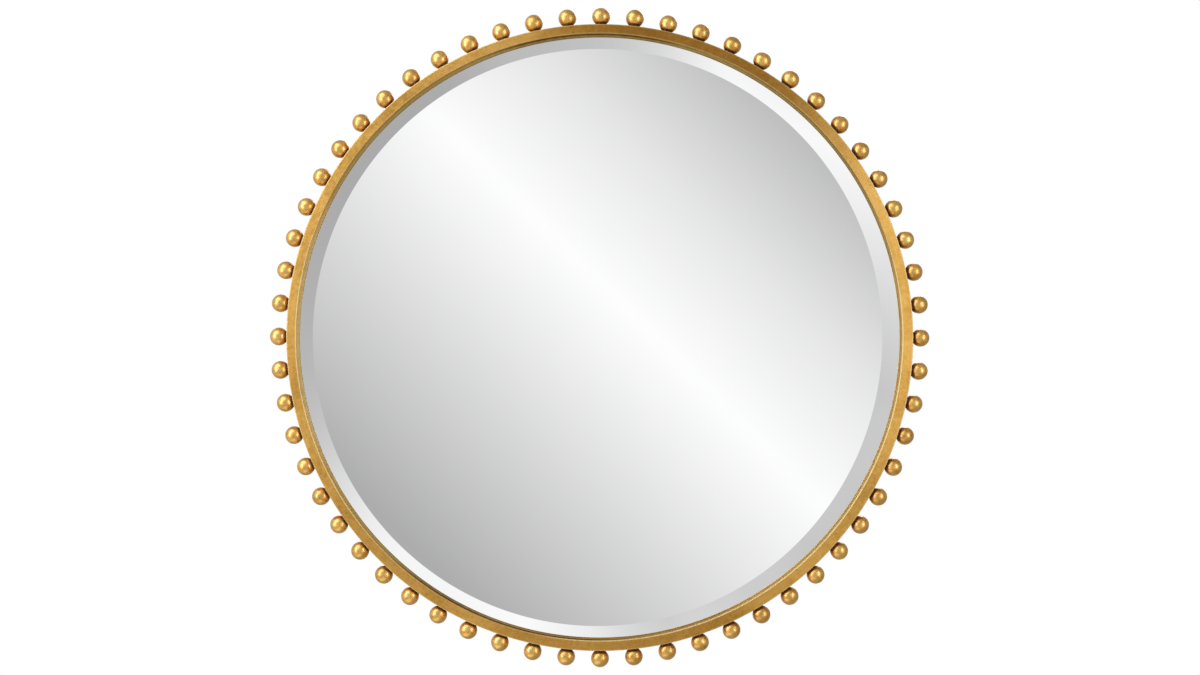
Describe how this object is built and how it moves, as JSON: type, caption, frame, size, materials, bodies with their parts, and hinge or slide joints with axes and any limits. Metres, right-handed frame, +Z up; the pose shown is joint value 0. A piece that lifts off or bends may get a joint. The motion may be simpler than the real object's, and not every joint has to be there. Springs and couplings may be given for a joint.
{
  "type": "round wall mirror",
  "caption": "Round wall mirror: a bevelled pane in a gilded iron hoop with balls welded round the rim, and D-ring hangers on the back board.",
  "frame": {"origin": "centre of the plane that the rubber bumpers touch on the wall, on the mirror's axis", "axes": "+Z up, +X to the right as seen from the front, +Y from the mirror towards the wall; the pane looks along -Y"},
  "size_m": [0.9652, 0.0316, 0.9652],
  "materials": {
    "gilded_iron": "antiqued gold leaf on iron, worn a little at the edges, satin",
    "silvered_glass": "polished, silvered behind",
    "felt": "undyed wool felt strip",
    "black_rubber": "matt rubber",
    "foam": "white foam tape",
    "fibreboard": "raw fibreboard",
    "black_iron": "black primer",
    "zinc_screw": "yellow zinc plated",
    "plated_steel": "nickel plated"
  },
  "bodies": {
    "mirror": {"hoop_band": "gilded_iron", "face_bar": "gilded_iron", "glass_stop": "gilded_iron", "balls_01": "gilded_iron", "balls_02": "gilded_iron", "balls_03": "gilded_iron", "balls_04": "gilded_iron", "balls_05": "gilded_iron", "balls_06": "gilded_iron", "balls_07": "gilded_iron", "balls_08": "gilded_iron", "balls_09": "gilded_iron", "balls_10": "gilded_iron", "balls_11": "gilded_iron", "balls_12": "gilded_iron", "mirror_glass": "silvered_glass", "felt_gasket": "felt", "setting_block_left": "black_rubber", "setting_block_right": "black_rubber", "bumper_1": "black_rubber", "bumper_2": "black_rubber", "bumper_3": "black_rubber", "bumper_4": "black_rubber", "foam_pad_1": "foam", "foam_pad_2": "foam", "foam_pad_3": "foam", "foam_pad_4": "foam", "foam_pad_5": "foam", "foam_pad_6": "foam", "backing_board": "fibreboard", "lug_1": "black_iron", "lug_2": "black_iron", "lug_3": "black_iron", "lug_4": "black_iron", "lug_5": "black_iron", "lug_6": "black_iron", "lug_7": "black_iron", "lug_8": "black_iron", "lug_screws": "zinc_screw", "hanger_screws": "zinc_screw", "hanger_strap_left": "plated_steel", "hanger_strap_right": "plated_steel"},
    "left_ring": {"d_ring_left": "plated_steel"},
    "right_ring": {"d_ring_right": "plated_steel"}
  },
  "joints": [
    {"name": "left_ring_swing", "type": "hinge", "parent": "mirror", "child": "left_ring", "pos_m": [-0.2032, -0.00342, 0.19], "axis": [1, 0, 0], "range_deg": [0, 177]},
    {"name": "right_ring_swing", "type": "hinge", "parent": "mirror", "child": "right_ring", "pos_m": [0.2032, -0.00342, 0.19], "axis": [1, 0, 0], "range_deg": [0, 177]}
  ]
}
